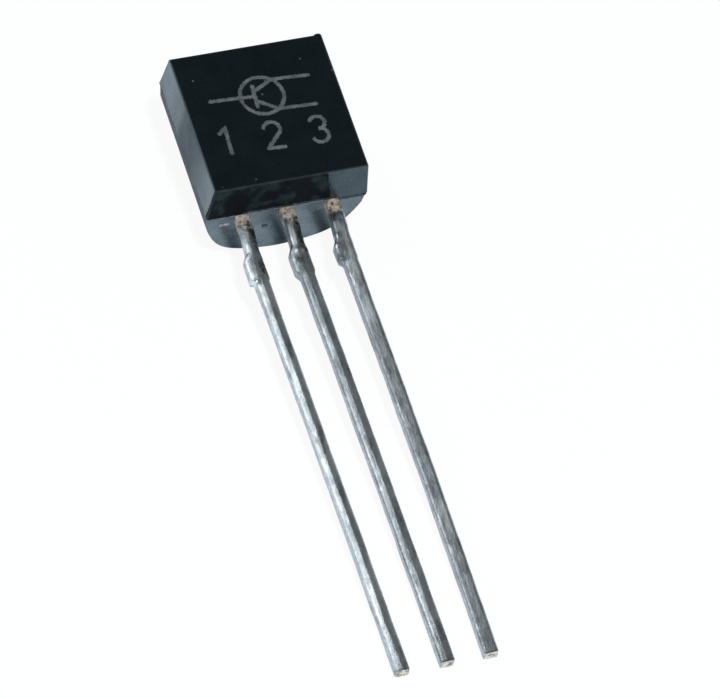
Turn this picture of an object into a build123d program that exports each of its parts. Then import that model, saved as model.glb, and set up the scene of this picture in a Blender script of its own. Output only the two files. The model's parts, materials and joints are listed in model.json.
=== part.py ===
from build123d import *
import os
from math import atan2, degrees, hypot, radians, tan

# A three-lead through-hole transistor: a moulded case with a flat front and a
# round back, on a stamped lead frame that carries the chip and its bond wires.
# It is drawn upright in millimetres: X across the leads, Y from the flat
# front to the round back, Z up from the end of the case where the leads come
# out. The two mould halves part at Y = 0, on the front face of the frame.
# At the end it is laid on its round back, with its lead tips on the surface.

# Moulded case
case_width = 4.56
case_height = 4.62
front_depth = 1.17
back_depth = 2.20
flank_depth = 0.50
draft_angle = 5.0
edge_radius = 0.06

# Marks of the mould: a flat spot from an ejector pin on the back, and the
# stub of the gate on the end away from the leads
ejector_radius = 0.75
ejector_height = 2.31
ejector_recess = 0.03
gate_width = 0.80
gate_thickness = 0.24
gate_stub = 0.05

# Leads, square in section
lead_pitch = 1.27
lead_width = 0.38
lead_thickness = 0.38
lead_length = 14.30
tip_chamfer = 0.06

# The set that the leads took when they were cut from the frame: a shift to
# one side between two distances from the case, and a drift from there to the tip
sway = -0.07
sway_start = 0.45
sway_end = 1.55
tip_drift = {"collector": 0.14, "base": 0.10, "emitter": 0.02}

# Stubs of the bar that joined the leads while the case was moulded
stub_distance = 1.15
stub_slope = 0.30
stub_length = 0.95
stub_left = 0.11
stub_right = 0.05

# Pads of the frame inside the case
paddle_width = 2.20
paddle_height = 1.60
paddle_base = 2.35
paddle_overhang = 0.30
lock_hole_radius = 0.22
lock_hole_inset = 0.45
base_pad_width = 0.90
base_pad_height = 0.70
base_pad_base = 1.25
emitter_pad_width = 0.95
emitter_pad_height = 0.95
emitter_pad_base = 2.35
emitter_overhang = 0.25
pad_radius = 0.08

# Chip, and the solder under it
die_size = 0.48
die_thickness = 0.20
die_inset = 0.62
die_rise = 0.75
attach_margin = 0.05
attach_thickness = 0.03

# Bond wires
wire_diameter = 0.05
wire_rise = 0.28
wire_foot = 0.15
wire_bend_radius = 0.06
ball_diameter = 0.11
ball_height = 0.04
bond_offset = 0.12

slope = tan(radians(draft_angle))
frame_plane = Plane.XZ.offset(-lead_thickness)
paddle_left = -lead_pitch - lead_width / 2 - paddle_overhang
emitter_right = lead_pitch + lead_width / 2 + emitter_overhang
die_centre = (paddle_left + paddle_width - die_inset, paddle_base + die_rise)


def front_half():
    """A block whose four sides lean in towards the flat front."""
    outline = Pos(0, case_height / 2) * Rectangle(case_width, case_height)
    block = extrude(Plane.XZ * outline, front_depth, taper=draft_angle)
    return fillet(block.edges().filter_by(lambda edge: edge.center().Y < 0), edge_radius)


def round_half():
    """Drafted flanks, one arc across the back, and drafted ends."""
    half = case_width / 2
    flank = half - flank_depth * slope
    flanks = Polyline((flank, flank_depth), (half, 0), (-half, 0), (-flank, flank_depth))
    arc = ThreePointArc((flank, flank_depth), (0, back_depth), (-flank, flank_depth))
    prism = extrude(make_face(flanks + arc), case_height)
    lean = back_depth * slope
    ends = Polyline(
        (0, 0), (back_depth, lean), (back_depth, case_height - lean), (0, case_height), close=True
    )
    block = prism & extrude(Plane.YZ * make_face(ends), case_width, both=True)
    end_edges = block.edges().filter_by(Axis.Z, reverse=True)
    return fillet(end_edges.filter_by(lambda edge: edge.center().Y > 0), edge_radius)


def back_radius():
    """Radius of the arc through both flanks and the back of the case."""
    chord = case_width / 2 - flank_depth * slope
    rise = back_depth - flank_depth
    return (chord**2 + rise**2) / (2 * rise)


def ejector_mark():
    """What the flat end of an ejector pin keeps free of compound on the back."""
    radius = back_radius()
    fall = radius - (radius**2 - ejector_radius**2) ** 0.5
    floor = back_depth - fall - ejector_recess
    plane = Plane(origin=(0, floor, ejector_height), z_dir=(0, 1, 0))
    return extrude(plane * Circle(ejector_radius), back_depth)


def gate_mark():
    """The stub left on the end of the case where the gate was broken off."""
    stub = Box(gate_width, gate_thickness, gate_stub + edge_radius)
    return Pos(0, 0, case_height + (gate_stub - edge_radius) / 2) * stub


def lead_shift(distance, drift):
    """Sideways shift of a lead's centre line at a distance below the case."""
    if distance <= sway_start:
        return 0.0
    if distance <= sway_end:
        return sway * (distance - sway_start) / (sway_end - sway_start)
    return sway + drift * (distance - sway_end) / (lead_length - sway_end)


def stub_width(distance, stub):
    """How far the cut stub stands out of a lead's edge at a distance below the case."""
    if distance > stub_distance + stub_length:
        return 0.0
    return stub * min(1.0, max(0.0, (distance - stub_distance) / stub_slope))


def lead_edge(side, stub, drift):
    """One long edge of a lead, from the case to its tip, with a sharp end to its stub."""
    stub_end = stub_distance + stub_length
    corners = {0, sway_start, sway_end, stub_distance, stub_distance + stub_slope, stub_end}
    steps = [(distance, stub_width(distance, stub)) for distance in sorted(corners)]
    steps.insert(steps.index((stub_end, stub)) + 1, (stub_end, 0))
    steps += [(lead_length - tip_chamfer, 0), (lead_length, -tip_chamfer)]
    return [
        (side * (lead_width / 2 + width) + lead_shift(distance, drift), -distance)
        for distance, width in steps
    ]


def lead(place, name, pad, pad_base):
    """A flat stamping as thick as the frame: a lead that runs up into its pad."""
    drift = tip_drift[name]
    left = lead_edge(-1, stub_left, drift)
    right = lead_edge(1, stub_right, drift)
    top = pad_base + lead_width / 2
    stem = Polyline(
        (lead_width / 2, top), *right, *reversed(left), (-lead_width / 2, top), close=True
    )
    profile = Pos(place * lead_pitch, 0) * make_face(stem) + pad
    return extrude(frame_plane * profile, lead_thickness)


def pad_plate(left, base, width, height):
    """A rounded pad, placed by its left and lower edges."""
    plate = RectangleRounded(width, height, pad_radius)
    return Pos(left + width / 2, base + height / 2) * plate


def collector_lead():
    """The lead on the left, in one piece with the paddle under the chip."""
    paddle = pad_plate(paddle_left, paddle_base, paddle_width, paddle_height)
    hole_height = paddle_base + paddle_height - lock_hole_inset
    hole = Pos(paddle_left + lock_hole_inset, hole_height) * Circle(lock_hole_radius)
    return lead(-1, "collector", paddle - hole, paddle_base)


def base_lead():
    """The lead in the middle, with a short pad below the paddle."""
    pad = pad_plate(-base_pad_width / 2, base_pad_base, base_pad_width, base_pad_height)
    return lead(0, "base", pad, base_pad_base)


def emitter_lead():
    """The lead on the right, with a pad beside the paddle."""
    left = emitter_right - emitter_pad_width
    pad = pad_plate(left, emitter_pad_base, emitter_pad_width, emitter_pad_height)
    return lead(1, "emitter", pad, emitter_pad_base)


def layer(size, start, thickness):
    """A square layer in front of the paddle, from a distance off its face."""
    across, height = die_centre
    plane = Plane(origin=(across, -start, height), x_dir=(1, 0, 0), z_dir=(0, -1, 0))
    return extrude(plane * Rectangle(size, size), thickness)


def bond_wire(offset, end):
    """A wire on its flattened ball: up from the chip, over, and down on to a pad."""
    chip_face = -attach_thickness - die_thickness
    start = (die_centre[0] + offset, die_centre[1] + offset)
    foot = Plane(origin=(start[0], chip_face, start[1]), z_dir=(0, -1, 0))
    path = FilletPolyline(
        (start[0], chip_face, start[1]),
        (start[0], chip_face - wire_rise, start[1]),
        (end[0], -wire_foot, end[1]),
        (end[0], 0, end[1]),
        radius=wire_bend_radius,
    )
    ball = extrude(foot * Circle(ball_diameter / 2), ball_height)
    return sweep(foot * Circle(wire_diameter / 2), path) + ball


def base_bond_wire():
    """From the lower left of the chip down to the middle pad."""
    return bond_wire(-bond_offset, (0, base_pad_base + base_pad_height / 2))


def emitter_bond_wire():
    """From the upper right of the chip across to the emitter's pad."""
    across = emitter_right - emitter_pad_width / 2
    return bond_wire(bond_offset, (across, emitter_pad_base + emitter_pad_height / 2))


def moulded_case(inside):
    """Both mould halves as one piece, closed tightly round what it holds."""
    case = front_half() + round_half() + gate_mark() - ejector_mark()
    for piece in inside:
        case -= piece
    return case


def build():
    """Every node by its name, drawn upright."""
    nodes = {
        "collector_lead": collector_lead(),
        "base_lead": base_lead(),
        "emitter_lead": emitter_lead(),
        "die_attach": layer(die_size + 2 * attach_margin, 0, attach_thickness),
        "transistor_die": layer(die_size, attach_thickness, die_thickness),
        "base_bond_wire": base_bond_wire(),
        "emitter_bond_wire": emitter_bond_wire(),
    }
    nodes["moulded_case"] = moulded_case(nodes.values())
    return nodes


def lay_down(nodes):
    """Lay the part on its round back and lead tips, over the middle of its base."""
    fall = back_depth - lead_thickness
    reach = lead_length + back_depth * slope
    tilt = degrees(atan2(fall, reach))
    turned = {name: Rot(X=tilt - 90) * node for name, node in nodes.items()}
    box = Compound([solid for node in turned.values() for solid in node.solids()]).bounding_box()
    home = Pos(-box.center().X, -box.center().Y, -box.min.Z)
    return {name: home * node for name, node in turned.items()}


def main():
    os.makedirs("parts", exist_ok=True)
    for name, node in lay_down(build()).items():
        export_step(node, f"parts/{name}.step")


main()
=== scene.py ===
import json
from math import asin, cos, pi, radians, sin, sqrt, tan

import bmesh
import bpy
import numpy as np
from mathutils import Matrix, Vector


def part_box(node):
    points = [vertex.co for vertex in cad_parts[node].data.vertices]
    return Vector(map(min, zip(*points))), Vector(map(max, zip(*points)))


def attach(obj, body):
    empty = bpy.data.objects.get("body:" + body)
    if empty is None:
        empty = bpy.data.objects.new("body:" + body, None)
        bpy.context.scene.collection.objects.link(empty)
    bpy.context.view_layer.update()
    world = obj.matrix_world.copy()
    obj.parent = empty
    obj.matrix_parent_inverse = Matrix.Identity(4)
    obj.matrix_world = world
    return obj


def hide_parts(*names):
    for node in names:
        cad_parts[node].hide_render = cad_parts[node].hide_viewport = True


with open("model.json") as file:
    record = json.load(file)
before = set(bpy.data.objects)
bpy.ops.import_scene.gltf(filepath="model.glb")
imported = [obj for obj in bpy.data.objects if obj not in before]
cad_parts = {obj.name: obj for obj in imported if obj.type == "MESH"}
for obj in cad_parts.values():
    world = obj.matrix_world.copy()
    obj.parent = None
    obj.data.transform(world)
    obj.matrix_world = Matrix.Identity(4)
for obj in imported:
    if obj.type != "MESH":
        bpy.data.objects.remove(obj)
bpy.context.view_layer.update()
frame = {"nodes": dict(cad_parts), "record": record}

print("frame loaded:", len(frame["nodes"]), "nodes")

# Shapes are worked out in millimetres, in the frame that the part is drawn in: x across
# the leads, y from the flat front to the round back, z up from the lead end of the case.
# The two mould halves part at y = 0. place() then lays them where the solids lie.
mounts = {mount["name"]: mount for mount in frame["record"]["mounts"]}
drawnAxes = np.stack([
    [1.0, 0.0, 0.0],
    -np.array(mounts["flat_front"]["axis"]),
    -np.array(mounts["lead_tips"]["axis"]),
])
drawnAxes /= np.linalg.norm(drawnAxes, axis=1)[:, None]

caseForm = {
    "width": (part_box("moulded_case")[1].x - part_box("moulded_case")[0].x) * 1000,
    "height": 4.62,
    "frontDepth": 1.17,
    "backDepth": 2.20,
    "flankDepth": 0.50,
    "draft": 5.0,
    "flatRoom": 0.005,       # room for the sharp top edge of the flat inside the overall height
    "edgeRadius": 0.030,
    "cornerRadius": 0.040,
    "ridgeRoom": 0.010,      # room for the flash line inside the overall width
    "halfStep": 0.016,       # how far the back half sits in from the front half
    "stepRun": 0.012,        # how far from y = 0 the ends of the back half have stepped in
    "ripple": 0.0016,        # how far the moulded faces wander from flat
    "rippleWaves": 30,
    "rippleSpread": 1.1,     # the higher, the closer the waves
    "rippleStart": 0.05,     # how far from y = 0 the faces begin to wander
    "flashHalf": 0.006,      # half the width of the flash line
    "ejectorRadius": 0.75,
    "ejectorHeight": 2.31,
    "ejectorRecess": 0.03,
    "ejectorWall": 0.03,
    "shoulder": 0.115,       # how much fuller than one arc the back is at its shoulders
    "shoulderAngle": 40.0,
    "burr": 0.045,           # a nick of flash on the top edge of the flat
    "burrAt": 2.06,
    "burrHalf": 0.07,
    "burrLean": 0.14,        # how far it leans back, so as not to stand above the flat's edge
    "seed": 5,
    "flatPoints": 66,        # the next five say how fine the mesh is
    "arcPoints": 110,
    "capRows": 16,
    "edgeRows": 6,
    "wallRows": 136,
    "spineShare": 0.55,      # length of the line in the middle of each end
}

flatCentre = np.array([0.0, -caseForm["frontDepth"], caseForm["height"] / 2])
home = np.array(mounts["flat_front"]["pos_m"]) - flatCentre @ drawnAxes / 1000


def place(points):  # drawn millimetres to metres on the surface that the part lies on
    return np.asarray(points, float) @ drawnAxes / 1000 + home


def smooth(value):  # 0 to 1 with no corner at either end
    value = np.clip(value, 0, 1)
    return value * value * (3 - 2 * value)


def ripple(points, seed, count, spread):
    # the mean of sine waves that run in random directions with random phases, about -1 to 1
    random = np.random.default_rng(seed)
    ways = random.normal(size=(count, points.shape[-1])) * np.asarray(spread)
    phases = random.uniform(0, 2 * pi, count)
    return np.sin(points @ ways.T + phases).mean(axis=-1) * sqrt(count) * 0.7


def table(*columns):  # one row for each point, with a single number repeated
    return np.column_stack(np.broadcast_arrays(*columns))


def gridPart(grid):
    # a quad between each point of the grid and its neighbours, round to the first column
    rows, columns = grid.shape[:2]
    i, j = np.meshgrid(np.arange(rows - 1), np.arange(columns), indexing="ij")
    k = (j + 1) % columns
    quads = [i * columns + j, i * columns + k, (i + 1) * columns + k, (i + 1) * columns + j]
    return grid.reshape(-1, 3), np.stack(quads, axis=-1).reshape(-1, 4)


def addObject(name, data):
    made = bpy.data.objects.new(name, data)
    bpy.context.scene.collection.objects.link(made)
    return made


def makePiece(name, parts, materials, values=None, replaced=(), second=None):
    # parts are (points, faces) in drawn millimetres; values are one number for each point;
    # second is 1 where a face takes the second material
    starts = np.cumsum([0] + [len(points) for points, _ in parts[:-1]])
    points = np.concatenate([place(points) for points, _ in parts])
    faces = np.concatenate([faces + start for (_, faces), start in zip(parts, starts)])
    mesh = bpy.data.meshes.new(name)
    mesh.from_pydata(points.tolist(), [], faces.tolist())
    for key, numbers in (values or {}).items():
        layer = mesh.attributes.new(key, "FLOAT", "POINT")
        layer.data.foreach_set("value", np.asarray(numbers, np.float32).ravel())
    if second is not None:
        mesh.polygons.foreach_set("material_index", second.astype(np.int32))
    work = bmesh.new()
    work.from_mesh(mesh)
    bmesh.ops.remove_doubles(work, verts=work.verts, dist=5e-8)
    bmesh.ops.dissolve_degenerate(work, edges=work.edges, dist=2e-8)
    bmesh.ops.recalc_face_normals(work, faces=work.faces)
    work.to_mesh(mesh)
    work.free()
    mesh.shade_smooth()
    for material in materials:
        mesh.materials.append(material)
    piece = addObject(name, mesh)
    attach(piece, "root")
    if replaced:
        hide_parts(*replaced)
    print("made", name, "with", len(mesh.polygons), "faces")
    return piece


def feed(tree, made, inputs):
    # an input given as a socket is linked, and any other is set on the node's own socket
    for key, value in inputs.items():
        if isinstance(value, bpy.types.NodeSocket):
            tree.links.new(value, made.inputs[key])
        else:
            made.inputs[key].default_value = value
    return made


def node(tree, kind, inputs=None, **settings):
    made = tree.nodes.new("ShaderNode" + kind)
    for key, value in settings.items():
        setattr(made, key, value)
    return feed(tree, made, inputs or {})


def output(tree, kind, inputs, **settings):
    # the first output of a new node
    return node(tree, kind, inputs, **settings).outputs[0]


def calc(tree, operation, first, second, clamp=False):
    return output(tree, "Math", {0: first, 1: second}, operation=operation, use_clamp=clamp)


def plus(tree, first, second, clamp=False):
    return calc(tree, "ADD", first, second, clamp)


def times(tree, first, second, clamp=False):
    return calc(tree, "MULTIPLY", first, second, clamp)


def mixColour(tree, factor, first, second):
    return node(tree, "Mix", {0: factor, 6: first, 7: second}, data_type="RGBA").outputs[2]


def spread(tree, value, fromLow, fromHigh, low=0.0, high=1.0, kind="SMOOTHSTEP"):
    inputs = {"Value": value, "From Min": fromLow, "From Max": fromHigh, "To Min": low,
              "To Max": high}
    return output(tree, "MapRange", inputs, interpolation_type=kind)


def noise(tree, vector, scale, detail, roughness=0.5):
    inputs = {"Vector": vector, "Scale": scale, "Detail": detail, "Roughness": roughness}
    return output(tree, "TexNoise", inputs)


def attribute(tree, name):
    return node(tree, "Attribute", attribute_name=name).outputs["Fac"]


def newGroup(name, values, output, kind="Float"):
    # a group that takes a vector and some values and puts out one thing
    tree = bpy.data.node_groups.new(name, "ShaderNodeTree")
    sockets = [("vector", "INPUT", "Vector"), (output, "OUTPUT", kind)]
    sockets += [(value, "INPUT", "Float") for value in values]
    for key, way, sort in sockets:
        tree.interface.new_socket(name=key, in_out=way, socket_type="NodeSocket" + sort)
    given = tree.nodes.new("NodeGroupInput").outputs
    return tree, given, tree.nodes.new("NodeGroupOutput").inputs


def useGroup(tree, group, **inputs):
    return output(tree, "Group", inputs, node_tree=group)


groupForm = {
    "noiseBand": (0.32, 0.68),   # where most of a noise's values lie
    "cloudRoughness": 0.6,
    "wearDetail": 4.0,
    "grainDetail": (2.0, 3.0),   # of the coarse and the fine noise
    "fineScale": 3.3,
    "fineShare": 0.45,
}


def cloudGroup():
    # noise stretched from its usual middle band to run from low to high
    tree, given, result = newGroup("clouds", ["scale", "detail", "low", "high"], "value")
    roughness = groupForm["cloudRoughness"]
    raw = noise(tree, given["vector"], given["scale"], given["detail"], roughness)
    stretched = spread(tree, raw, *groupForm["noiseBand"], given["low"], given["high"])
    tree.links.new(stretched, result["value"])
    return tree


def speckGroup():
    # specks where a random cell is picked and the point is near the middle of its cell
    tree, given, result = newGroup("specks", ["scale", "amount", "size"], "mask")
    cells = node(tree, "TexVoronoi", {"Vector": given["vector"], "Scale": given["scale"]})
    pick = output(tree, "SeparateColor", {0: cells.outputs["Color"]})
    near = calc(tree, "LESS_THAN", cells.outputs["Distance"], given["size"])
    picked = calc(tree, "LESS_THAN", pick, given["amount"])
    tree.links.new(times(tree, near, picked), result["mask"])
    return tree


def wearGroup():
    # 1 along an edge and 0 beyond the width, with a ragged limit; distance in millimetres
    tree, given, result = newGroup("edgeWear", ["distance", "scale", "width"], "mask")
    uneven = noise(tree, given["vector"], given["scale"], groupForm["wearDetail"])
    ragged = times(tree, given["width"], times(tree, uneven, 2.0))
    share = calc(tree, "DIVIDE", given["distance"], calc(tree, "MAXIMUM", ragged, 0.0001))
    tree.links.new(calc(tree, "SUBTRACT", 1.0, share, clamp=True), result["mask"])
    return tree


def grainGroup():
    # bump from a coarse and a fine noise; depth is in metres
    tree, given, result = newGroup("grain", ["scale", "strength", "depth"], "normal", "Vector")
    coarseDetail, fineDetail = groupForm["grainDetail"]
    coarse = noise(tree, given["vector"], given["scale"], coarseDetail)
    finer = times(tree, given["scale"], groupForm["fineScale"])
    fine = noise(tree, given["vector"], finer, fineDetail)
    height = plus(tree, coarse, times(tree, fine, groupForm["fineShare"]))
    bump = output(tree, "Bump", {"Strength": given["strength"], "Distance": given["depth"],
                                 "Height": height})
    tree.links.new(bump, result["normal"])
    return tree


clouds = cloudGroup()
specks = speckGroup()
edgeWear = wearGroup()
grain = grainGroup()


def cloud(tree, vector, scale, detail, low=0.0, high=1.0):
    return useGroup(tree, clouds, vector=vector, scale=scale, detail=detail, low=low, high=high)


def grainNormal(tree, vector, scale, strength, depth):
    return useGroup(tree, grain, vector=vector, scale=scale, strength=strength, depth=depth)


def newMaterial(name, base):
    material = bpy.data.materials.new(name)
    material.use_nodes = True
    material.diffuse_color = (*base, 1)
    tree = material.node_tree
    shader = tree.nodes["Principled BSDF"]
    return material, tree, shader, node(tree, "TexCoord").outputs["Object"]


epoxyFinish = {
    "black": (0.0013, 0.0022, 0.0033, 1),
    "cloud": (0.0034, 0.0050, 0.0068, 1),
    "worn": (0.055, 0.068, 0.075, 1),
    "dust": (0.16, 0.165, 0.16, 1),
    "mark": (0.135, 0.145, 0.143, 1),
    "markDim": (0.070, 0.078, 0.080, 1),
    "cloudScale": 900,
    "fillerScale": 26000,
    "fillerShare": 0.6,          # how much of the clouds the filler breaks up
    "wearScale": 2600.0,
    "wearWidth": 0.022,
    "wearCover": 0.35,
    "sheenPatchesScale": 1700.0,
    "dustScale": 5200.0,
    "dustAmount": 0.035,
    "dustSize": 0.16,
    "dustCover": 0.5,
    "markScale": 24000.0,
    "markWander": 0.016,         # how far the laser's edge wanders
    "markEdge": (-0.010, 0.012),
    "markCover": 0.92,
    "burnScale": 4200.0,
    "rough": (0.22, 0.29),
    "roughScale": 1500.0,
    "fillerRough": 0.06,
    "scuffRough": 0.20,
    "markRough": 0.35,
    "grain": (21000.0, 0.16, 1.6e-6),  # scale, strength and depth
    "engraveDepth": 3e-6,
    "ior": 1.54,
    "specularTint": (0.56, 0.875, 1.0, 1),
    # gloss is the usual finish; the second one, matt with little shine, also paints shade: on the
    # front half's lead end it stands in for a dark reflection, and its pale colour there is painted
    # sheen
    "gloss": {"specular": 0.72, "extraRough": 0.0, "sheenPatchesLow": 0.45,
              "paintedSheen": (0.192, 0.244, 0.288, 1)},
    "paintedShadeMatt": {"specular": 0.11, "extraRough": 0.35, "sheenPatchesLow": -1.1,
             "paintedSheen": (0.150, 0.270, 0.280, 1)},
}


def epoxyMaterial(name, polish):
    # black moulding compound: cloudy filler, worn edges, dust, a laser mark on the flat, and a
    # painted sheen in patches that stands in for reflected light
    finish = epoxyFinish
    material, tree, shader, point = newMaterial(name, (0.01, 0.012, 0.014))
    cloudy = cloud(tree, point, finish["cloudScale"], 5.0)
    filler = cloud(tree, point, finish["fillerScale"], 2.0)
    share = finish["fillerShare"]
    broken = plus(tree, times(tree, filler, share), 1 - share)
    tone = times(tree, cloudy, broken)
    colour = mixColour(tree, tone, finish["black"], finish["cloud"])
    wear = useGroup(tree, edgeWear, distance=attribute(tree, "edgeDistance"), vector=point,
                    scale=finish["wearScale"], width=finish["wearWidth"])
    # painted sheen: the finish's pale bluish colour, mixed in as far as the point's attribute says
    # and in patches, stands in for reflected light
    sheenPatches = cloud(tree, point, finish["sheenPatchesScale"], 6.0, polish["sheenPatchesLow"])
    paintedSheen = times(tree, attribute(tree, "paintedSheen"), calc(tree, "MAXIMUM", sheenPatches, 0.0))
    colour = mixColour(tree, paintedSheen, colour, polish["paintedSheen"])
    colour = mixColour(tree, times(tree, wear, finish["wearCover"]), colour, finish["worn"])
    dust = useGroup(tree, specks, vector=point, scale=finish["dustScale"],
                    amount=finish["dustAmount"], size=finish["dustSize"])
    colour = mixColour(tree, times(tree, dust, finish["dustCover"]), colour, finish["dust"])

    wander = finish["markWander"]
    ragged = cloud(tree, point, finish["markScale"], 3.0, -wander, wander)
    depth = plus(tree, attribute(tree, "markDepth"), ragged)
    mark = spread(tree, depth, *finish["markEdge"])
    burn = cloud(tree, point, finish["burnScale"], 4.0)
    ink = mixColour(tree, burn, finish["markDim"], finish["mark"])
    colour = mixColour(tree, times(tree, mark, finish["markCover"]), colour, ink)

    rough = cloud(tree, point, finish["roughScale"], 5.0, *finish["rough"])
    rough = plus(tree, rough, times(tree, filler, finish["fillerRough"]))
    rough = plus(tree, rough, polish["extraRough"])
    scuffed = times(tree, attribute(tree, "scuff"), finish["scuffRough"])
    rough = plus(tree, rough, scuffed)
    rough = plus(tree, rough, times(tree, mark, finish["markRough"]), clamp=True)
    normal = grainNormal(tree, point, *finish["grain"])
    engrave = output(tree, "Bump", {"Strength": 0.5, "Distance": finish["engraveDepth"],
                                    "Height": mark, "Normal": normal}, invert=True)
    feed(tree, shader, {"Base Color": colour, "Roughness": rough, "Normal": engrave})
    shader.inputs["IOR"].default_value = finish["ior"]
    shader.inputs["Specular Tint"].default_value = finish["specularTint"]
    shader.inputs["Specular IOR Level"].default_value = polish["specular"]
    return material


flashFinish = {
    "thin": (0.62, 0.64, 0.67, 1),
    "thick": (0.085, 0.095, 0.105, 1),
    "cloudScale": 9000.0,
    "rough": (0.3, 0.55),
    "roughScale": 16000.0,
    "grain": (30000.0, 0.6, 3e-6),
}


def flashMaterial():
    # resin that squeezed out between the mould halves: pale where thin, darker at its root
    finish = flashFinish
    material, tree, shader, point = newMaterial("resinFlash", (0.12, 0.12, 0.12))
    uneven = plus(tree, cloud(tree, point, finish["cloudScale"], 4.0), 0.35)
    thin = times(tree, attribute(tree, "thinness"), uneven, clamp=True)
    colour = mixColour(tree, thin, finish["thick"], finish["thin"])
    rough = cloud(tree, point, finish["roughScale"], 3.0, *finish["rough"])
    normal = grainNormal(tree, point, *finish["grain"])
    feed(tree, shader, {"Base Color": colour, "Roughness": rough, "Normal": normal})
    return material


tinFinish = {
    "bright": (0.86, 0.92, 0.94, 1),
    "grey": (0.43, 0.51, 0.56, 1),
    "oxide": (0.13, 0.145, 0.15, 1),
    "shearedAndPaintedShade": (0.42, 0.44, 0.47, 1),
    "copper": (0.94, 0.82, 0.71, 1),
    "copperDark": (0.13, 0.085, 0.07, 1),
    "stretch": (1.0, 0.28, 1.0),  # draws the patches and lumps out along the leads
    "patchScale": 2300.0,
    "fineScale": 11000.0,
    "fineShare": 0.28,
    "spotBreak": 0.45,           # how much of a placed spot the fine clouds leave whole
    "stainScale": 3900.0,
    "stainLow": -1.4,            # the lower, the fewer stains
    "stainCover": 0.55,
    "tinStart": 0.40,
    "tinWander": 0.12,
    "edgeScale": 5000.0,
    "tinEdge": (-0.06, 0.08),
    "burntScale": 6500.0,
    "burntLow": -0.5,
    "cutCover": 0.85,            # how much of a cut tip is bare
    "bareMetal": 0.45,           # what the bare copper loses in metallic shine
    "rough": (0.27, 0.42),
    "roughScale": 5200.0,
    "greyRough": 0.07,
    "beadPolish": 0.15,
    "lumpScale": 5200.0,
    "pitScale": 21000.0,
    "pitShare": 0.3,
    "lumpStrength": 0.9,
    "lumpDepth": 1.5e-5,
}


def tinMaterial(name, dullness):
    # hot-dipped tin over copper: mottled grey, frozen lumps, bare copper near the case, and a
    # darker colour on the side walls that on some leads reaches onto the front corner as painted
    # shade
    finish = tinFinish
    material, tree, shader, point = newMaterial(name, (0.7, 0.73, 0.75))
    along = output(tree, "Mapping", {"Vector": point, "Scale": finish["stretch"]})
    patches = cloud(tree, along, finish["patchScale"], 6.0)
    fine = cloud(tree, point, finish["fineScale"], 4.0)
    tone = times(tree, patches, 1 - finish["fineShare"])
    tone = plus(tree, tone, times(tree, fine, finish["fineShare"]))
    tone = plus(tree, tone, dullness, clamp=True)
    tin = mixColour(tree, tone, finish["bright"], finish["grey"])
    stain = cloud(tree, along, finish["stainScale"], 5.0, finish["stainLow"])
    stainMask = times(tree, calc(tree, "MAXIMUM", stain, 0.0), finish["stainCover"])
    uneven = plus(tree, fine, finish["spotBreak"])
    placed = times(tree, attribute(tree, "stain"), uneven, clamp=True)
    stainMask = calc(tree, "MAXIMUM", stainMask, placed, clamp=True)
    # darker colour on the lead's side walls; where it reaches onto the front's left corner it is
    # painted shade that dims the highlight there
    wall = times(tree, attribute(tree, "wall"), uneven, clamp=True)
    tin = mixColour(tree, wall, tin, finish["shearedAndPaintedShade"])
    tin = mixColour(tree, stainMask, tin, finish["oxide"])
    tin = mixColour(tree, attribute(tree, "bead"), tin, finish["bright"])

    wander = cloud(tree, point, finish["edgeScale"], 4.0, -finish["tinWander"], finish["tinWander"])
    edge = plus(tree, attribute(tree, "distance"), wander)
    before, after = finish["tinEdge"]
    bare = spread(tree, edge, finish["tinStart"] + before, finish["tinStart"] + after, 1.0, 0.0)
    burnt = cloud(tree, point, finish["burntScale"], 5.0, finish["burntLow"])
    burntMask = calc(tree, "MAXIMUM", calc(tree, "MAXIMUM", burnt, 0.0), placed)
    copper = mixColour(tree, burntMask, finish["copper"], finish["copperDark"])
    cut = times(tree, attribute(tree, "cutFace"), finish["cutCover"])
    bare = calc(tree, "MAXIMUM", bare, cut)
    colour = mixColour(tree, bare, tin, copper)
    metal = calc(tree, "SUBTRACT", 1.0, times(tree, bare, finish["bareMetal"]))

    rough = cloud(tree, along, finish["roughScale"], 5.0, *finish["rough"])
    rough = plus(tree, rough, times(tree, tone, finish["greyRough"]))
    polished = times(tree, attribute(tree, "bead"), finish["beadPolish"])
    rough = calc(tree, "SUBTRACT", rough, polished)
    lumps = noise(tree, along, finish["lumpScale"], 4.0, 0.62)
    pits = noise(tree, point, finish["pitScale"], 3.0)
    height = plus(tree, lumps, times(tree, pits, finish["pitShare"]))
    bump = output(tree, "Bump", {"Strength": finish["lumpStrength"],
                                 "Distance": finish["lumpDepth"], "Height": height})
    feed(tree, shader, {"Base Color": colour, "Metallic": metal, "Roughness": rough,
                        "Normal": bump})
    return material


# what the case hides: two colours, metallic, the range of roughness, cloud scale, grain depth
innerFinish = {
    "dieSolder": ((0.42, 0.43, 0.44), (0.62, 0.63, 0.64), 1.0, (0.3, 0.5), 9000.0, 2e-6),
    "silicon": ((0.06, 0.065, 0.09), (0.11, 0.12, 0.16), 0.3, (0.08, 0.2), 14000.0, 4e-7),
    "goldWire": ((0.86, 0.60, 0.20), (0.95, 0.72, 0.32), 1.0, (0.16, 0.3), 24000.0, 6e-7),
}


def innerMaterial(name):
    # a cloudy colour, a roughness that varies, and a fine grain
    dark, light, metallic, rough, scale, depth = innerFinish[name]
    material, tree, shader, point = newMaterial(name, dark)
    colour = mixColour(tree, cloud(tree, point, scale, 4.0), (*dark, 1), (*light, 1))
    worn = cloud(tree, point, scale * 2.5, 4.0, *rough)
    normal = grainNormal(tree, point, scale * 4, 0.5, depth)
    feed(tree, shader, {"Base Color": colour, "Roughness": worn, "Normal": normal})
    shader.inputs["Metallic"].default_value = metallic
    return material


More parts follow.
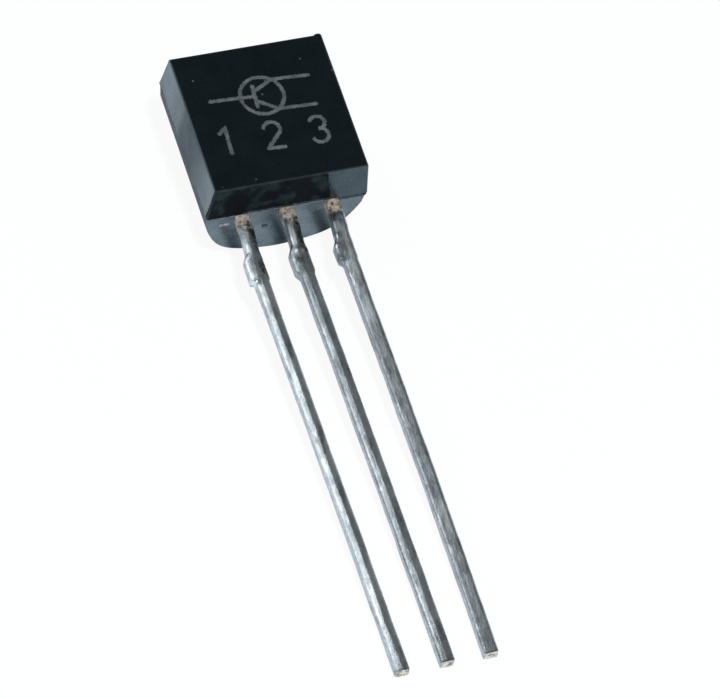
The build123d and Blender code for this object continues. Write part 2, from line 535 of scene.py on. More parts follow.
# the marking on the flat front: pin numbers under a circuit symbol, as strokes
markForm = {
    "stroke": 0.105,
    "turn": -3.0,
    "centre": (-0.05, 2.20),
    "symbolRise": 0.68,
    "numberDrop": -0.62,
    "numberHeight": 0.84,
    "numberPitch": 1.27,
}


def arcPoints(centre, radius, start, end, count=18):
    # points round part of a circle, angles in degrees from the x direction
    angle = np.radians(np.linspace(start, end, count))
    return np.stack([centre[0] + radius * np.cos(angle), centre[1] + radius * np.sin(angle)], -1)


def digitStrokes(digit, height):
    # each digit as lines and arcs about its own middle
    h = height / 2
    bowl = height * 0.27
    if digit == 1:
        return [np.array([(-0.40 * h, 0.55 * h), (0.05 * h, h), (0.05 * h, -h)])]
    if digit == 2:
        top = arcPoints((0, h - bowl), bowl, 165, -35)
        return [np.vstack([top, [(-bowl, -h), (bowl * 1.05, -h)]])]
    upper = arcPoints((0, h - bowl * 0.92), bowl * 0.92, 155, -80)
    lower = arcPoints((0, -h + bowl), bowl, 80, -155)
    return [upper, lower]


def symbolStrokes():
    # a ring, a bar inside it with a wire from the left, and two slanted legs to the right
    ring = arcPoints((0, 0), 0.60, 0, 360, 48)
    bar = np.array([(-0.20, -0.34), (-0.20, 0.34)])
    inlet = np.array([(-1.45, 0), (-0.20, 0)])
    upper = np.array([(-0.20, 0.15), (0.36, 0.48), (1.40, 0.48)])
    lower = np.array([(-0.20, -0.15), (0.36, -0.48), (1.40, -0.48)])
    return [ring, bar, inlet, upper, lower]


def markDepth(x, z):
    # half the stroke less the distance to the nearest stroke, so more than 0 is inside one
    form = markForm
    turn = radians(form["turn"])
    across, up = x - form["centre"][0], z - form["centre"][1]
    px = across * cos(turn) + up * sin(turn)
    pz = up * cos(turn) - across * sin(turn)
    lines = [stroke + (0, form["symbolRise"]) for stroke in symbolStrokes()]
    for column, digit in zip((-1, 0, 1), (1, 2, 3)):
        shift = (column * form["numberPitch"], form["numberDrop"])
        lines += [stroke + shift for stroke in digitStrokes(digit, form["numberHeight"])]
    starts = np.concatenate([line[:-1] for line in lines])
    runs = np.concatenate([np.diff(line, axis=0) for line in lines])
    toPoint = np.stack([px, pz], -1)[..., None, :] - starts
    share = np.clip((toPoint * runs).sum(-1) / (runs ** 2).sum(-1), 0, 1)
    gap = np.linalg.norm(toPoint - share[..., None] * runs, axis=-1).min(axis=-1)
    return form["stroke"] / 2 - gap


def caseLoop():
    # half the cross-section from the middle of the flat to the middle of the back, then
    # mirrored: flat, rounded corner, flank that widens to the ridge, flank of the back
    # half set in by a small step, and one arc; each row is x, y, normal x, normal y, and
    # the distance to the worn corner, or far
    form = caseForm
    far = 9.0
    lean = radians(form["draft"])
    half = form["width"] / 2 - form["ridgeRoom"]
    depth, corner = form["frontDepth"] - form["flatRoom"], form["cornerRadius"]
    backHalf = half - form["halfStep"]
    cornerX = half - depth * tan(lean) - corner * (1 / cos(lean) - tan(lean))
    flankHalf = backHalf - form["flankDepth"] * tan(lean)
    rise = form["backDepth"] - form["flankDepth"]
    radius = (flankHalf ** 2 + rise ** 2) / (2 * rise)
    centre = form["backDepth"] - radius
    sweep = asin(flankHalf / radius)

    even = np.linspace(0, cornerX - 0.06, form["flatPoints"])
    flat = np.append(even, cornerX - np.array([0.03, 0.01, 0.0]))
    front = table(flat, -depth, 0, -1, cornerX - flat)
    turn = np.linspace(0, pi / 2 - lean, 8)[1:]
    bend = table(cornerX + corner * np.sin(turn), corner - depth - corner * np.cos(turn),
                 np.sin(turn), -np.cos(turn), 0)
    start = bend[-1, 1]
    even = np.linspace(-0.07, start + 0.05, 18)
    down = start - np.concatenate([[-0.01, -0.03], even, [start + 0.02]])
    flank = table(half + down * tan(lean), down, cos(lean), -sin(lean), down - start)
    ridge = table([half, half, half - 0.004], [-0.006, 0.0, 0.005], 1, 0, far)
    back = np.concatenate([[0.012, 0.03, 0.06], np.linspace(0.1, form["flankDepth"] - 0.02, 7)])
    rear = table(backHalf - back * tan(lean), back, cos(lean), sin(lean), far)
    angle = np.linspace(sweep - 0.01, 0, form["arcPoints"])
    wave = (1 - np.cos(np.minimum(angle / radians(form["shoulderAngle"]), 2) * pi)) / 2
    reach = radius + form["shoulder"] * wave ** 2
    arc = table(reach * np.sin(angle), centre + reach * np.cos(angle), np.sin(angle),
                np.cos(angle), far)
    right = np.concatenate([front, bend, flank, ridge, rear, arc])
    left = right[-2:0:-1] * (-1, 1, -1, 1, 1)
    return np.concatenate([right, left]), radius


def caseSurface():
    # rows run from a line across the lead end, out to the loop, round the edge, up the
    # wall and back to a line across the other end; both ends lean in away from y = 0
    form = caseForm
    loop, radius = caseLoop()
    slope = tan(radians(form["draft"]))
    edge = form["edgeRadius"]
    outer, normal, side = loop[:, :2], loop[:, 2:4], loop[:, 4]
    inner = outer - normal * edge
    spine = table(inner[:, 0] * form["spineShare"], 0)

    def endHeight(depth):  # the ends lean in, and the back half's starts a step further in
        return np.abs(depth) * slope + smooth(depth / form["stepRun"]) * form["halfStep"]

    rows, edgeDistance = [], []
    for share in np.append(np.linspace(0, 0.94, form["capRows"]), [0.975, 1.0]):
        flat = spine + (inner - spine) * share
        rows.append(np.column_stack([flat, endHeight(flat[:, 1])]))
        edgeDistance.append(np.linalg.norm(inner - flat, axis=1))
    for angle in np.linspace(0, pi / 2, form["edgeRows"] + 1)[1:]:
        flat = inner + normal * edge * sin(angle)
        rows.append(np.column_stack([flat, endHeight(inner[:, 1]) + edge * (1 - cos(angle))]))
        edgeDistance.append(side * 0)
    foot = rows[-1][:, 2]
    head = form["height"] - foot
    even = np.linspace(0.016, 0.984, form["wallRows"])
    steps = np.concatenate([[0.003, 0.008], even, [0.992, 0.997]])
    wall = [np.column_stack([outer, foot + (head - foot) * step]) for step in steps]
    wallDistance = [np.minimum(side, (head - foot) * min(step, 1 - step)) for step in steps]
    top = [np.column_stack([row[:, :2], form["height"] - row[:, 2]]) for row in rows[::-1]]
    grid = np.stack(rows + wall + top)
    distance = np.stack(edgeDistance + wallDistance + edgeDistance[::-1])

    fall = radius - sqrt(radius ** 2 - form["ejectorRadius"] ** 2)
    floorDepth = form["backDepth"] - fall - form["ejectorRecess"]
    away = np.hypot(grid[..., 0], grid[..., 2] - form["ejectorHeight"])
    inside = smooth((form["ejectorRadius"] - away) / form["ejectorWall"] + 0.5)
    inside *= grid[..., 1] > form["flankDepth"]
    grid[..., 1] -= inside * np.maximum(grid[..., 1] - floorDepth, 0)

    outward = np.zeros_like(grid)
    outward[..., :2] = normal
    loose = smooth((np.abs(grid[..., 1]) - form["rippleStart"]) / 0.2)
    wander = ripple(grid, form["seed"], form["rippleWaves"], form["rippleSpread"]) - 1
    grid += outward * (np.minimum(wander, 0) * form["ripple"] * loose)[..., None]
    flashLine = smooth(1 - np.abs(grid[..., 1]) / form["flashHalf"]) * np.abs(normal[:, 0])
    proud = form["ridgeRoom"] * smooth(0.5 + ripple(grid * (0, 0, 1), 9, 24, (1, 1, 5)) * 0.6)
    grid += outward * (flashLine * proud * 0.95)[..., None]

    burr = smooth(1.6 - np.abs(grid[..., 0] - form["burrAt"]) / form["burrHalf"])
    burr *= grid[..., 1] < -form["frontDepth"] + 0.12
    lift = burr * smooth((grid[..., 2] - form["height"] + 0.25) / 0.1) * form["burr"]
    grid[..., 2] += lift
    grid[..., 1] += lift * form["burrLean"]
    values, dull = caseWear(grid, normal, len(rows))
    values["edgeDistance"] = distance
    points, faces = gridPart(grid)
    # faces in the painted dark zone take the second, matt finish
    paintedShadeMatt = dull.ravel()[faces].mean(axis=1) > 0.6
    return (points, faces), values, paintedShadeMatt


wearForm = {
    "paintedShadeMattHeight": 0.15,      # the painted dark zone, matt with little shine, is the front half's lead end, up to this height
    "paintedShadeMattEdge": 1.25,        # and as far right as this, at y = 0
    "paintedShadeMattLean": 0.20,
    "paintedShadeMattWave": 0.035,
    "paintedShadeMattSeed": 77,
    "paintedFlankSheen": 0.48,       # painted sheen on the sides, towards both ends
    "paintedFlankSheenMiddle": 0.46,
    "paintedFlankSheenLoss": 0.8,    # how much less of it the back half has
    "paintedEndSheen": 0.10,
    "paintedBackSheen": (0.49, 0.06),  # what the back half adds, on the lead end and on the top end
    # painted shadow bands beside the leads on the lead end, where the painted sheen is taken away:
    # x at y = 0, lean, width and strength
    "paintedShadowBands": [(-1.93, 0.37, 0.12, 0.6), (-0.50, 0.37, 0.12, 1.0), (0.70, 0.37, 0.19, 0.9)],
    "paintedShadowBandStart": 0.25,
    "paintedShadowBandEnd": 2.15,
    "scuffStart": 0.3,       # heights between which the front half's sides are scuffed
    "scuffEnd": 3.1,
    "backScuff": 1.4,
}


def caseWear(grid, normal, capRows):
    # marking, painted sheen and scuffs as a number at each point, and which points are in the
    # painted dark zone; each is a product of smooth steps in x, y and z, and the painted shadow
    # bands are bell curves along x
    form = wearForm
    x, y, z = grid[..., 0], grid[..., 1], grid[..., 2]
    onFlat = (y < -caseForm["frontDepth"] + 0.02) & (np.abs(z - 2.3) < 1.9)
    mark = np.full(x.shape, -1.0)
    mark[onFlat] = markDepth(x[onFlat], z[onFlat])
    # painted shade: left of a wavy edge, the front half's lead end takes the matt finish of little
    # shine, standing in for a dark reflection
    edge = form["paintedShadeMattEdge"] + form["paintedShadeMattLean"] * y
    edge += form["paintedShadeMattWave"] * ripple(grid[..., 1:2], form["paintedShadeMattSeed"], 8, (9.0,))
    dull = (y < -0.004) & (z < form["paintedShadeMattHeight"]) & (x < edge)

    backHalf = smooth(y / 0.03)
    sideways = smooth((np.abs(normal[:, 0]) - 0.6) / 0.3)
    leadEnd = (np.arange(len(grid)) < len(grid) / 2)[:, None]
    onWall = np.zeros((len(grid), 1))
    onWall[capRows:-capRows] = 1
    # painted sheen: a pale bluish colour standing in for reflected light, on the sides towards both
    # ends, less on the back half, and on both ends
    ends = np.abs(z / caseForm["height"] - form["paintedFlankSheenMiddle"]) * 2
    paintedSheen = sideways * form["paintedFlankSheen"] * smooth(ends) * onWall
    paintedSheen *= 1 - form["paintedFlankSheenLoss"] * backHalf
    paintedCapSheen = form["paintedEndSheen"] + backHalf * np.where(leadEnd, *form["paintedBackSheen"])
    paintedSheen = np.maximum(paintedSheen, paintedCapSheen * (1 - onWall))
    # painted shadow bands: beside each lead on the lead end the painted sheen is taken away, so the
    # face is darker there
    paintedShadowBand = sum(strength * np.exp(-((x - start - lean * y) / width) ** 2)
                 for start, lean, width, strength in form["paintedShadowBands"])
    paintedShadowBand *= smooth((y - form["paintedShadowBandStart"]) / 0.5) * smooth((form["paintedShadowBandEnd"] - y) / 0.3)
    paintedSheen *= 1 - np.clip(paintedShadowBand, 0, 1) * leadEnd * (1 - onWall)
    scuff = smooth((form["scuffEnd"] - z) / 0.4) * smooth((z - form["scuffStart"]) / 1.6)
    scuff = sideways * (scuff * (1 - backHalf) + form["backScuff"] * backHalf) * onWall
    return {"markDepth": mark, "paintedSheen": paintedSheen, "scuff": scuff}, dull


# each web runs from one x to another, sits at a y, and stands out by a reach with a thickness
flashForm = {
    "webs": [(-2.16, -1.47, 0.0, 0.030, 0.014), (-1.06, -0.21, 0.0, 0.035, 0.014),
             (0.21, 1.06, 0.0, 0.030, 0.014)],
    "flecks": [(-1.87, -1.57, 0.42, 0.026, 0.09)],
    # the first bead, dark and matt along the parting line towards the right end, is a painted
    # shadow of the step between the mould halves
    "beads": [(1.40, 2.262, 0.055, 0.020, 0.11), (-0.58, -0.40, 0.90, 0.014, 0.08)],
    "root": 0.04,            # how far each web starts inside the case
    "points": 90,
    "seed": 31,
}


def flashSurfaces(webs):
    # a section of six points, as deep at each x as a ragged wave says, that closes to a
    # point at both ends of its span
    form = flashForm
    parts = []
    for number, (start, end, middle, reach, thickness) in enumerate(webs):
        x = np.linspace(start, end, form["points"])
        share = np.sin(pi * (x - start) / (end - start))
        ragged = ripple(x[:, None], form["seed"] + number, 14, (16.0,)) * 0.4 + 0.6
        depth = reach * np.clip(ragged, 0.1, 1.2) * smooth(share * 3)
        half = thickness / 2 * smooth(share * 6)
        base = middle * tan(radians(caseForm["draft"]))
        root = form["root"] * smooth(share * 8) + base
        section = [(-half, root), (-half, base - depth * 0.6), (-half * 0.5, base - depth),
                   (half * 0.5, base - depth), (half, base - depth * 0.6), (half, root)]
        grid = np.stack([table(x, middle + y, z) for y, z in section], axis=1)
        parts.append(gridPart(grid))
    return parts


gateForm = {
    "width": 0.80,
    "thickness": 0.24,
    "stub": 0.05,
    "root": 0.10,
    "rough": 0.022,
    "corner": 0.25,          # the lower, the squarer
    "seed": 41,
}


def roundedSquare(count, power):
    # points round |x|^(2/p) + |y|^(2/p) = 1, from 1 across to 1 up and on
    around = np.linspace(0, 2 * pi, count, endpoint=False)
    across, up = np.cos(around), np.sin(around)
    return np.sign(across) * np.abs(across) ** power, np.sign(up) * np.abs(up) ** power


def gateSurface():
    # rings of one rounded rectangle from a point under the stub, up its wall, and in over
    # the broken face to a point, with the broken face let down by a ragged wave
    form = gateForm
    unitX, unitY = roundedSquare(96, form["corner"])
    top, root = caseForm["height"] + form["stub"], -form["root"]
    inward = [1.0, 0.97, 0.9, 0.8, 0.65, 0.5, 0.35, 0.2, 0.1, 0.0]
    rings = [(0.0, root, 0), (1.0, root, 0), (1.0, -0.03, 0)]
    rings += [(scale, 0.0, 1) for scale in inward]
    x, y = unitX * form["width"] / 2, unitY * form["thickness"] / 2
    grid = np.stack([table(x * scale, y * scale, top + drop) for scale, drop, _ in rings])
    broken = np.array([ring[2] for ring in rings])[:, None]
    ragged = ripple(grid, form["seed"], 30, (9, 9, 0)) * 0.5 + 0.5
    grid[..., 2] -= broken * np.clip(ragged, 0, 1.2) * form["rough"]
    return gridPart(grid)


leadForm = {
    "pitch": 1.27,
    "width": 0.38,
    "thickness": 0.38,
    "length": 14.30,
    "sway": -0.07,
    "swayStart": 0.45,
    "swayEnd": 1.55,
    "stubDistance": 1.15,
    "stubSlope": 0.30,
    "stubLength": 0.95,
    "stubLeft": 0.11,
    "ridgeBlend": 0.07,
    "ridgeWander": 0.055,
    "lump": 0.0055,          # how uneven the dipped tin is
    "lumpWaves": 40,
    "lumpSpread": (1.0, 1.0, 2.6),   # round the lead twice, then along it
    "fineSpread": (1.4, 1.4, 9.0),
    "fineShare": 0.5,
    "beadFull": 0.02,        # how proud a bead is where its tin is bright all over
    "skin": 0.006,           # room for the lumps inside the lead's real thickness
    "swell": 0.006,          # how much the tin adds to the width on each side
    "rightShear": 0.92,      # where the darker colour on the right wall starts, of half the width
    "shearBlend": 0.08,
    "points": 72,            # round each lead's section
    "padPoints": 64,
    "padCorner": 0.16,       # the lower, the squarer
}

# a bead or stain is distance from the case, side, length, width and strength; a pad is left,
# base, width and height; a hole is x, z and radius; twist and tilts are in degrees
leadPlan = {
    "collector": {
        "place": -1, "drift": 0.14, "bow": 0.012, "seed": 11, "twist": -5.0, "dullness": -0.20,
        "squareness": 4.8, "shearAndPaintedShadeStart": 0.90, "ridge": -0.03, "tilts": (13.0, 8.5),
        "stubTrim": 0.02, "stubEnd": 0.05, "stubRight": 0.035,
        "beads": [(2.13, -0.80, 0.09, 0.45, 0.024), (1.30, -0.3, 0.12, 0.5, 0.008),
                  (0.95, -0.6, 0.14, 0.4, 0.007)],
        "stains": [(1.69, 0.50, 0.20, 0.28, 1.6), (0.92, 0.65, 0.40, 0.45, 0.8),
                   (0.33, 0.5, 0.12, 0.38, 1.1), (0.55, 0.7, 0.16, 0.5, 0.9),
                   (2.0, 0.1, 0.12, 0.4, 0.3)],
        "pad": (-1.76, 2.35, 2.20, 1.60), "hole": (-1.31, 3.50, 0.22),
    },
    "base": {
        "place": 0, "drift": 0.10, "bow": 0.018, "seed": 12, "twist": -4.0, "dullness": -0.07,
        "squareness": 6.8, "shearAndPaintedShadeStart": 0.74, "ridge": -0.07, "tilts": (10.5, 7.5),
        "stubTrim": 0.0, "stubEnd": 0.22, "stubRight": 0.045,
        "beads": [(1.40, 0.0, 0.13, 0.38, 0.028), (1.66, -0.62, 0.10, 0.34, 0.010),
                  (1.85, -0.2, 0.16, 0.5, 0.006)],
        "stains": [(0.98, 0.62, 0.58, 0.46, 1.7), (1.69, -0.22, 0.09, 0.3, 1.2),
                   (0.16, 0.0, 0.06, 0.25, 0.45), (0.44, 0.6, 0.12, 0.3, 0.9),
                   (2.3, 0.9, 0.4, 0.3, 0.4)],
        "pad": (-0.45, 1.25, 0.90, 0.70), "hole": None,
    },
    "emitter": {
        "place": 1, "drift": 0.02, "bow": 0.035, "seed": 13, "twist": -2.0, "dullness": -0.12,
        "squareness": 8.5, "shearAndPaintedShadeStart": 0.70, "ridge": 0.60, "tilts": (7.0, 11.0),
        "stubTrim": 0.17, "stubEnd": 0.13, "stubRight": 0.02,
        "beads": [(1.15, -0.7, 0.09, 0.35, 0.016), (1.47, -0.6, 0.10, 0.35, 0.018)],
        "stains": [(0.52, -0.60, 0.16, 0.42, 1.6), (0.15, -0.25, 0.05, 0.20, 1.6),
                   (0.75, 0.2, 0.12, 0.3, 0.6), (1.80, -0.9, 0.14, 0.5, 0.8)],
        "pad": (0.76, 2.35, 0.95, 0.95), "hole": None,
    },
}


def leadShift(distance, drift, bow):
    # nothing near the case, then evenly over to one side, then a slow bowed drift to the tip
    form = leadForm
    lean = np.clip((distance - form["swayStart"]) / (form["swayEnd"] - form["swayStart"]), 0, 1)
    lean = 0.5 * lean + 0.5 * smooth(lean)
    back = np.clip((distance - form["swayEnd"]) / (form["length"] - form["swayEnd"]), 0, 1)
    return form["sway"] * lean + drift * back + bow * np.sin(pi * back)


def stubProud(distance, proud, plan):
    # ramps out over the slope, holds, and drops off at the cut end
    form = leadForm
    ramp = smooth((distance - form["stubDistance"]) / form["stubSlope"])
    end = form["stubDistance"] + form["stubLength"] - plan["stubTrim"]
    drop = smooth((end - distance) / plan["stubEnd"] + 0.5)
    return proud * ramp * drop


def frontFall(across, along, plan):
    # how far the front face lies back from its ridge: two slopes that meet in a round top,
    # with the ridge wandering a little from side to side
    form = leadForm
    left, right = (tan(radians(angle)) for angle in plan["tilts"])
    wander = ripple(along[..., None], plan["seed"] + 80, 12, (2.2,))
    offset = across - plan["ridge"] - form["ridgeWander"] * wander
    bend = np.sqrt(offset ** 2 + form["ridgeBlend"] ** 2)
    return form["width"] / 2 * ((left + right) / 2 * bend + (right - left) / 2 * offset)


def blobs(along, side, spots):
    # soft round spots on the front of a lead, each at a distance and a side, -1 to 1
    total = along * 0
    for distance, across, length, width, strength in spots:
        away = ((along - distance) / length) ** 2
        total = total + strength * np.exp(-away - ((side - across) / width) ** 2)
    return total


def leadSurface(plan):
    # the section |x|^p + |y|^p = 1 carried down the lead, its sides moved out at the stubs,
    # its skin lifted by the lumps of the tin, turned a little, and drawn in at both ends
    form = leadForm
    length = form["length"]
    top = -(plan["pad"][1] + form["width"] / 2)
    tip = np.array([0.09, 0.06, 0.04, 0.025, 0.012, 0.004, 0.0, 0.0, 0.0, 0.0, 0.0])
    tipDraw = np.array([1, 1, 0.985, 0.96, 0.925, 0.885, 0.84, 0.75, 0.5, 0.25, 0])
    upper = np.concatenate([[top, top, top + 0.01], np.linspace(top + 0.1, -0.12, 10)])
    stem = np.concatenate([np.arange(-0.1, 3.0, 0.02), np.linspace(3.0, length - 0.12, 300)])
    distance = np.concatenate([upper, stem, length - tip])
    draw = np.concatenate([[0.0], np.ones(len(upper) - 1 + len(stem)), tipDraw])
    around = np.linspace(0, 2 * pi, form["points"], endpoint=False)
    power = plan["squareness"]
    stretch = (np.abs(np.cos(around)) ** power + np.abs(np.sin(around)) ** power) ** (-1 / power)
    unitX, unitY = stretch * np.cos(around), stretch * np.sin(around)
    along, angle = np.meshgrid(distance, around, indexing="ij")
    left = stubProud(along, form["stubLeft"], plan)
    right = stubProud(along, plan["stubRight"], plan)
    tinned = smooth((along - tinFinish["tinStart"] + 0.05) / 0.2)
    spot = np.stack([np.cos(angle), np.sin(angle), along], -1)
    waves = form["lumpWaves"]
    lump = ripple(spot, plan["seed"], waves, form["lumpSpread"])
    lump += ripple(spot, plan["seed"] + 40, waves, form["fineSpread"]) * form["fineShare"]
    front = unitY < 0.3
    bead = blobs(along, unitX, plan["beads"]) * front
    grow = tinned * lump * form["lump"] + bead
    halfX = form["width"] / 2 + form["swell"] + grow
    halfY = form["thickness"] / 2 - form["skin"] + grow
    x = (unitX * halfX + np.where(unitX > 0, right, -left) * np.abs(unitX) ** 0.5) * draw[:, None]
    crown = frontFall(unitX, along, plan) * np.clip(-unitY, 0, 1)
    y = (unitY * halfY + crown) * draw[:, None]
    turn = np.radians(plan["twist"]) * smooth((along - 1.2) / 2.5) * smooth((length - along) / 2.5)
    x, y = x * np.cos(turn) - y * np.sin(turn), x * np.sin(turn) + y * np.cos(turn)
    centre = plan["place"] * form["pitch"] + leadShift(along, plan["drift"], plan["bow"])
    grid = np.stack([centre + x, y + form["thickness"] / 2, -along], -1)
    cutFace = (draw[:, None] + 0 * along < 0.86) & (along > 1)
    stain = np.clip(blobs(along, unitX, plan["stains"]), 0, 1) * front
    # on the left the darker wall colour starts further in on some leads, so it covers the front's
    # left corner as painted shade over its highlight
    past = np.where(unitX < 0, -unitX - plan["shearAndPaintedShadeStart"], unitX - form["rightShear"])
    wall = smooth(past / form["shearBlend"]) + 0 * along
    shine = np.clip(bead / form["beadFull"], 0, 1)
    return gridPart(grid), {"distance": along, "cutFace": cutFace, "stain": stain, "wall": wall,
                            "bead": shine}


def padSurface(plan):
    # a rounded plate as a closed tube of strips: front, rim, back and, where there is one,
    # the wall of its hole; a plate with no hole closes at a point on each side
    left, base, width, height = plan["pad"]
    thickness = leadForm["thickness"]
    unitX, unitZ = roundedSquare(leadForm["padPoints"], leadForm["padCorner"])
    turnX, turnZ = roundedSquare(leadForm["padPoints"], 1)
    middleX, middleZ = left + width / 2, base + height / 2
    rimX, rimZ = middleX + width / 2 * unitX, middleZ + height / 2 * unitZ
    holeX, holeZ, radius = plan["hole"] or (middleX, middleZ, 0.0)
    coreX, coreZ = holeX + radius * turnX, holeZ + radius * turnZ
    rings = [(coreX, 0, coreZ), (rimX, 0, rimZ), (rimX, thickness, rimZ), (coreX, thickness, coreZ)]
    if plan["hole"]:
        rings.append(rings[0])
    grid = np.stack([table(x, y, z) for x, y, z in rings])
    return gridPart(grid)


# the case takes the gloss finish, and the matt finish on the painted dark zone of its lead end,
# which stands in for a dark reflection
caseFinish = [epoxyMaterial("mouldingCompound", epoxyFinish["gloss"]),
              epoxyMaterial("mouldingCompoundPaintedShadeMatt", epoxyFinish["paintedShadeMatt"])]
caseMesh, caseValues, paintedShadeMattFaces = caseSurface()
makePiece("caseBody", [caseMesh], caseFinish, caseValues, ["moulded_case"],
          paintedShadeMattFaces)
resin = flashMaterial()
webs, flecks = flashSurfaces(flashForm["webs"]), flashSurfaces(flashForm["flecks"])
thinness = np.concatenate([np.full(len(points), 0.15) for points, _ in webs] +
                          [np.full(len(points), 0.55) for points, _ in flecks])
makePiece("partingFlash", webs + flecks, [resin], {"thinness": thinness})
# dark beads of resin on the seam in the matt finish; the first one is a painted shadow of the step
# between the halves
makePiece("seamBeadPaintedShadow", flashSurfaces(flashForm["beads"]), [caseFinish[1]])
makePiece("gateScar", [gateSurface()], [caseFinish[1]])

for name, plan in leadPlan.items():
    tin = tinMaterial(name + "Tin", plan["dullness"])
    stem, values = leadSurface(plan)
    pad = padSurface(plan)
    for key in values:
        rest = np.full(len(pad[0]), -1.0 if key == "distance" else 0.0)
        values[key] = np.append(values[key], rest)
    makePiece(name + "Lead", [stem, pad], [tin], values, [name + "_lead"])

# what the case hides keeps its solids and gets a finish
innerPlan = {"die_attach": "dieSolder", "transistor_die": "silicon", "base_bond_wire": "goldWire",
             "emitter_bond_wire": "goldWire"}
inner = {name: innerMaterial(name) for name in innerFinish}
for name, finish in innerPlan.items():
    mesh = frame["nodes"][name].data
    mesh.materials.clear()
    mesh.materials.append(inner[finish])
    print("finished", name, "in", finish)

viewForm = {
    "azimuth": -25.29,
    "elevation": 49.91,
    "roll": 9.40,
    "distance": 0.147399,
    "lens": 279.55,
    "sensor": 36,
    "clip": (0.005, 10),
    "aim": (0.0004527, -0.0002401, 0.0019148),
}


def makeCamera():
    form = viewForm
    data = bpy.data.cameras.new("camera")
    data.lens = form["lens"]
    data.sensor_width = form["sensor"]
    data.clip_start, data.clip_end = form["clip"]
    viewer = addObject("camera", data)
    azimuth, elevation, roll = (radians(form[key]) for key in ("azimuth", "elevation", "roll"))
    back = Vector((sin(azimuth) * cos(elevation), -cos(azimuth) * cos(elevation), sin(elevation)))
    level = Vector((cos(azimuth), sin(azimuth), 0))
    over = back.cross(level)
    right = level * cos(roll) + over * sin(roll)
    above = over * cos(roll) - level * sin(roll)
    spot = Vector(form["aim"]) + back * form["distance"]
    turned = Matrix((right, above, back)).transposed().to_4x4()
    viewer.matrix_world = Matrix.Translation(spot) @ turned
    bpy.context.scene.camera = viewer


floorForm = {
    "half": 0.6,
    "paint": (0.89, 0.95, 1.0, 1),
    "glow": (1.0, 1.0, 1.0, 1),
    "coolGlow": (0.80, 0.94, 1.0, 1),
    "shadowShare": 0.08,     # how much of the paint, and so of the shadow, the eye sees
    "mirrorShare": 0.92,
}


def makeFloor():
    # white paint that takes the shadow, mixed with a plain white glow for the eye and mirrors
    form = floorForm
    half = form["half"]
    mesh = bpy.data.meshes.new("floor")
    corners = [(-half, -half, 0), (half, -half, 0), (half, half, 0), (-half, half, 0)]
    mesh.from_pydata(corners, [], [(0, 1, 2, 3)])
    floor = addObject("floor", mesh)
    material = bpy.data.materials.new("whiteFloor")
    material.use_nodes = True
    tree = material.node_tree
    tree.nodes.clear()
    rays = node(tree, "LightPath").outputs
    seen = calc(tree, "MAXIMUM", rays["Is Camera Ray"], rays["Is Glossy Ray"])
    seen = calc(tree, "MAXIMUM", seen, rays["Is Transmission Ray"])
    shadow = spread(tree, rays["Is Camera Ray"], 0.0, 1.0, form["mirrorShare"], form["shadowShare"],
                    "LINEAR")
    share = times(tree, seen, calc(tree, "SUBTRACT", 1.0, shadow))
    glowColour = mixColour(tree, rays["Is Glossy Ray"], form["glow"], form["coolGlow"])
    paint = output(tree, "BsdfDiffuse", {"Color": form["paint"]})
    glow = output(tree, "Emission", {"Color": glowColour, "Strength": 1.0})
    blend = output(tree, "MixShader", {0: share, 1: paint, 2: glow})
    node(tree, "OutputMaterial", {"Surface": blend})
    mesh.materials.append(material)


# each band is where one part of the sky's glow blends into the next, -1 to 1 along an axis
worldForm = {
    "background": 1.0,
    "tint": (0.94, 0.98, 1.0, 1),
    "fill": 0.24,
    "horizon": 0.80,
    "zenith": 0.108,
    "zenithLeft": 0.46,
    "zenithRight": 0.09,     # added to the zenith on the right
    "rightShare": 0.85,
    "frontShare": 0.55,
    "leftBand": (-0.50, -0.08),
    "rightBand": (0.30, 0.60),
    "riseBand": (0.05, 0.55),
    "sideBand": (-0.35, 0.45),
    "frontBand": (-0.7, 0.2),
}


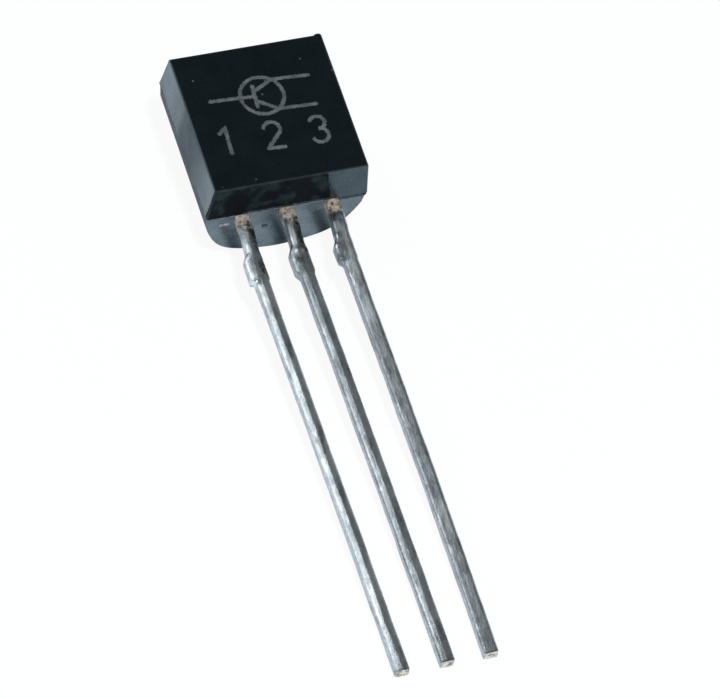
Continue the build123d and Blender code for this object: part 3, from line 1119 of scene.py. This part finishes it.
def makeWorld():
    # white for the eye, an even fill for matt surfaces, and for gloss a tent with an open top
    form = worldForm
    world = bpy.data.worlds.new("world")
    bpy.context.scene.world = world
    world.use_nodes = True
    tree = world.node_tree
    tree.nodes.clear()
    rays = node(tree, "LightPath").outputs
    direction = node(tree, "TexCoord").outputs["Generated"]
    parts = node(tree, "SeparateXYZ", {0: direction}).outputs
    top = spread(tree, parts["X"], *form["leftBand"], form["zenithLeft"], form["zenith"])
    added = spread(tree, parts["X"], *form["rightBand"], 0.0, form["zenithRight"])
    tent = spread(tree, parts["Z"], *form["riseBand"], form["horizon"], plus(tree, top, added))
    side = spread(tree, parts["X"], *form["sideBand"], 1.0, form["rightShare"])
    facing = spread(tree, parts["Y"], *form["frontBand"], form["frontShare"], 1.0)
    tent = times(tree, times(tree, tent, side), facing)
    glossy = output(tree, "Background", {"Color": form["tint"], "Strength": tent})
    fill = output(tree, "Background", {"Color": form["tint"], "Strength": form["fill"]})
    white = output(tree, "Background", {"Color": (1, 1, 1, 1), "Strength": form["background"]})
    light = output(tree, "MixShader", {0: rays["Is Glossy Ray"], 1: fill, 2: glossy})
    seen = output(tree, "MixShader", {0: rays["Is Camera Ray"], 1: light, 2: white})
    node(tree, "OutputWorld", {"Surface": seen})


lampPlan = {
    "keyLamp": {"at": (-0.115, 0.105, 0.205), "size": 0.17, "watts": 0.115,
                "colour": (0.97, 0.99, 1.0), "mirrored": True},
    "frontLamp": {"at": (-0.026, -0.12, 0.24), "size": 0.020, "watts": 0.53,
                  "colour": (0.98, 0.99, 1.0), "mirrored": False},
}


def makeLamps():
    for name, plan in lampPlan.items():
        data = bpy.data.lights.new(name, "AREA")
        data.size = plan["size"]
        data.energy = plan["watts"]
        data.color = plan["colour"]
        lamp = addObject(name, data)
        lamp.location = plan["at"]
        lamp.visible_glossy = plan["mirrored"]
        lamp.rotation_euler = Vector(plan["at"]).to_track_quat("Z", "Y").to_euler()


makeCamera()
makeFloor()
makeWorld()
makeLamps()
bpy.context.scene.view_settings.view_transform = "Standard"
print("camera, floor and light set")
